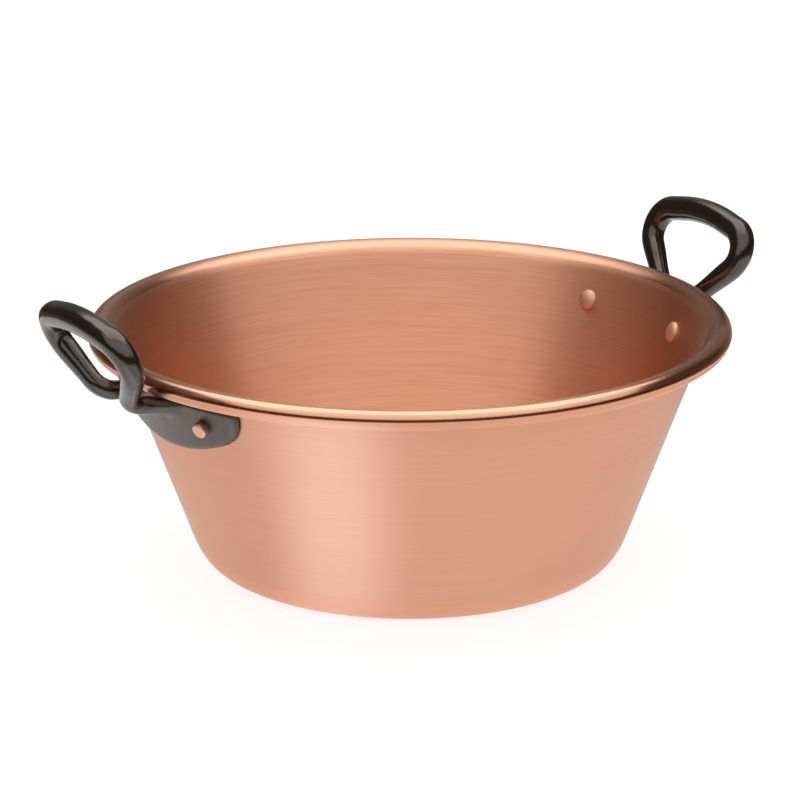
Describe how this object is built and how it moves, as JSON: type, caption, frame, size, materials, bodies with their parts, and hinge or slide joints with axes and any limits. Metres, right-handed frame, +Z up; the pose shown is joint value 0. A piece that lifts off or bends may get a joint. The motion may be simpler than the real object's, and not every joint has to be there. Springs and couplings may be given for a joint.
{
  "type": "copper jam pan",
  "caption": "Wide copper jam pan: a flared spun bowl with a flat base and rolled, wired rim, and a black cast-iron loop handle riveted on each side.",
  "frame": {"origin": "centre of the bowl's flat base, on the table", "axes": "+X towards handle_right, +Y along the rim between the handles, +Z up, out of the bowl's mouth"},
  "size_m": [0.4316, 0.36, 0.179],
  "materials": {
    "copper": "spun and satin-brushed copper, fine rings round the axis",
    "wire_steel": "plain drawn steel wire, hidden in the rim",
    "black_iron": "semi-gloss black coated cast iron",
    "rivet_copper": "polished copper"
  },
  "bodies": {
    "root": {"bowl": "copper", "rim_wire": "wire_steel", "handle_right": "black_iron", "handle_left": "black_iron", "rivet_right_front": "rivet_copper", "rivet_right_back": "rivet_copper", "rivet_left_front": "rivet_copper", "rivet_left_back": "rivet_copper"}
  },
  "joints": []
}
